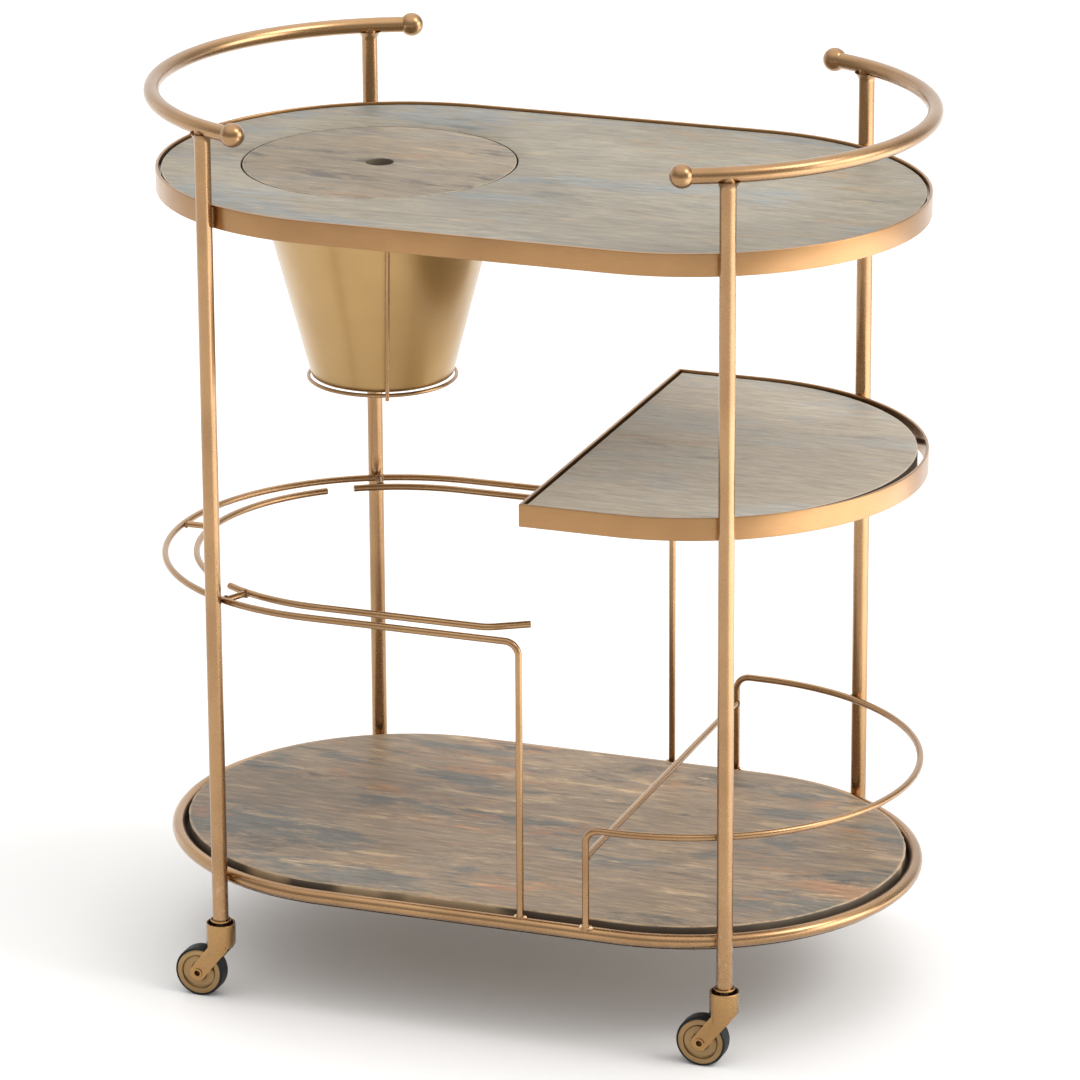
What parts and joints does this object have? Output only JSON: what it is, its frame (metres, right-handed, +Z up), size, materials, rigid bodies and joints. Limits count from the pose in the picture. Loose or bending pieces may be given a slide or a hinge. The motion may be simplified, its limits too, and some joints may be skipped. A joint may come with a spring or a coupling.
{
  "type": "bar cart",
  "caption": "Oval bar cart: tube frame on swivel casters, washed-wood boards, half shelf, stem rack, bottle gallery and a lidded drop-in ice bucket.",
  "frame": {"origin": "on the floor under the middle of the oval, the tyres touching z = 0", "axes": "+Z up; X along the cart's length, with +X towards the half shelf and -X towards the ice bucket; -Y is the front"},
  "size_m": [0.8032, 0.4972, 0.918],
  "materials": {
    "frame_brass": "satin antique brass lacquer with faint brushing",
    "bucket_brass": "brushed satin brass",
    "caster_brass": "satin plated",
    "wheel_disc": "satin gold-brown moulding",
    "tyre_rubber": "matte black",
    "washed_wood": "grey-washed, waxed, with blue-grey and tan streaks",
    "dark_washed_wood": "grey-brown wash with rusty and slate streaks",
    "zinc_screw": "zinc plated"
  },
  "bodies": {
    "frame": {"post_front_left": "frame_brass", "post_front_right": "frame_brass", "post_back_left": "frame_brass", "post_back_right": "frame_brass", "handrail_left": "frame_brass", "handrail_right": "frame_brass", "rail_ball_front_left": "frame_brass", "rail_ball_back_left": "frame_brass", "rail_ball_front_right": "frame_brass", "rail_ball_back_right": "frame_brass", "top_hoop": "frame_brass", "half_shelf_hoop": "frame_brass", "bottom_hoop": "frame_brass", "rack_outer_rod": "frame_brass", "rack_inner_rod_front": "frame_brass", "rack_inner_rod_end": "frame_brass", "rack_inner_rod_back": "frame_brass", "rack_spreaders": "frame_brass", "gallery_rail": "frame_brass", "gallery_cross_bar": "frame_brass", "seat_ring": "frame_brass", "cradle_ring": "frame_brass", "cradle_wires": "frame_brass", "top_board": "washed_wood", "half_shelf_board": "washed_wood", "bottom_board": "dark_washed_wood", "top_board_tabs": "frame_brass", "half_board_tabs": "frame_brass", "bottom_ledge": "frame_brass", "top_board_screws": "zinc_screw", "half_board_screws": "zinc_screw", "bottom_board_screws": "zinc_screw", "socket_front_left": "caster_brass", "socket_front_right": "caster_brass", "socket_back_left": "caster_brass", "socket_back_right": "caster_brass", "swivel_pin_front_left": "zinc_screw", "swivel_pin_front_right": "zinc_screw", "swivel_pin_back_left": "zinc_screw", "swivel_pin_back_right": "zinc_screw"},
    "bucket": {"ice_bucket": "bucket_brass"},
    "lid": {"lid": "washed_wood"},
    "caster_front_left": {"housing_front_left": "caster_brass", "axle_front_left": "caster_brass"},
    "wheel_set_front_left": {"wheel_front_left": "wheel_disc", "tyre_front_left": "tyre_rubber"},
    "caster_front_right": {"housing_front_right": "caster_brass", "axle_front_right": "caster_brass"},
    "wheel_set_front_right": {"wheel_front_right": "wheel_disc", "tyre_front_right": "tyre_rubber"},
    "caster_back_left": {"housing_back_left": "caster_brass", "axle_back_left": "caster_brass"},
    "wheel_set_back_left": {"wheel_back_left": "wheel_disc", "tyre_back_left": "tyre_rubber"},
    "caster_back_right": {"housing_back_right": "caster_brass", "axle_back_right": "caster_brass"},
    "wheel_set_back_right": {"wheel_back_right": "wheel_disc", "tyre_back_right": "tyre_rubber"}
  },
  "joints": [
    {"name": "swivel_front_left", "type": "hinge", "parent": "frame", "child": "caster_front_left", "pos_m": [-0.26765, -0.21819, 0.06], "axis": [0, 0, 1], "continuous": true},
    {"name": "roll_front_left", "type": "hinge", "parent": "caster_front_left", "child": "wheel_set_front_left", "pos_m": [-0.28965, -0.21819, 0.0255], "axis": [0, 1, 0], "continuous": true},
    {"name": "swivel_front_right", "type": "hinge", "parent": "frame", "child": "caster_front_right", "pos_m": [0.26765, -0.21819, 0.06], "axis": [0, 0, 1], "continuous": true},
    {"name": "roll_front_right", "type": "hinge", "parent": "caster_front_right", "child": "wheel_set_front_right", "pos_m": [0.24565, -0.21819, 0.0255], "axis": [0, 1, 0], "continuous": true},
    {"name": "swivel_back_left", "type": "hinge", "parent": "frame", "child": "caster_back_left", "pos_m": [-0.26765, 0.21819, 0.06], "axis": [0, 0, 1], "continuous": true},
    {"name": "roll_back_left", "type": "hinge", "parent": "caster_back_left", "child": "wheel_set_back_left", "pos_m": [-0.28965, 0.21819, 0.0255], "axis": [0, 1, 0], "continuous": true},
    {"name": "swivel_back_right", "type": "hinge", "parent": "frame", "child": "caster_back_right", "pos_m": [0.26765, 0.21819, 0.06], "axis": [0, 0, 1], "continuous": true},
    {"name": "roll_back_right", "type": "hinge", "parent": "caster_back_right", "child": "wheel_set_back_right", "pos_m": [0.24565, 0.21819, 0.0255], "axis": [0, 1, 0], "continuous": true},
    {"name": "bucket_lift", "type": "slide", "parent": "frame", "child": "bucket", "axis": [0, 0, 1], "range_m": [0, 0.25]},
    {"name": "lid_lift", "type": "slide", "parent": "bucket", "child": "lid", "axis": [0, 0, 1], "range_m": [0, 0.12]}
  ]
}
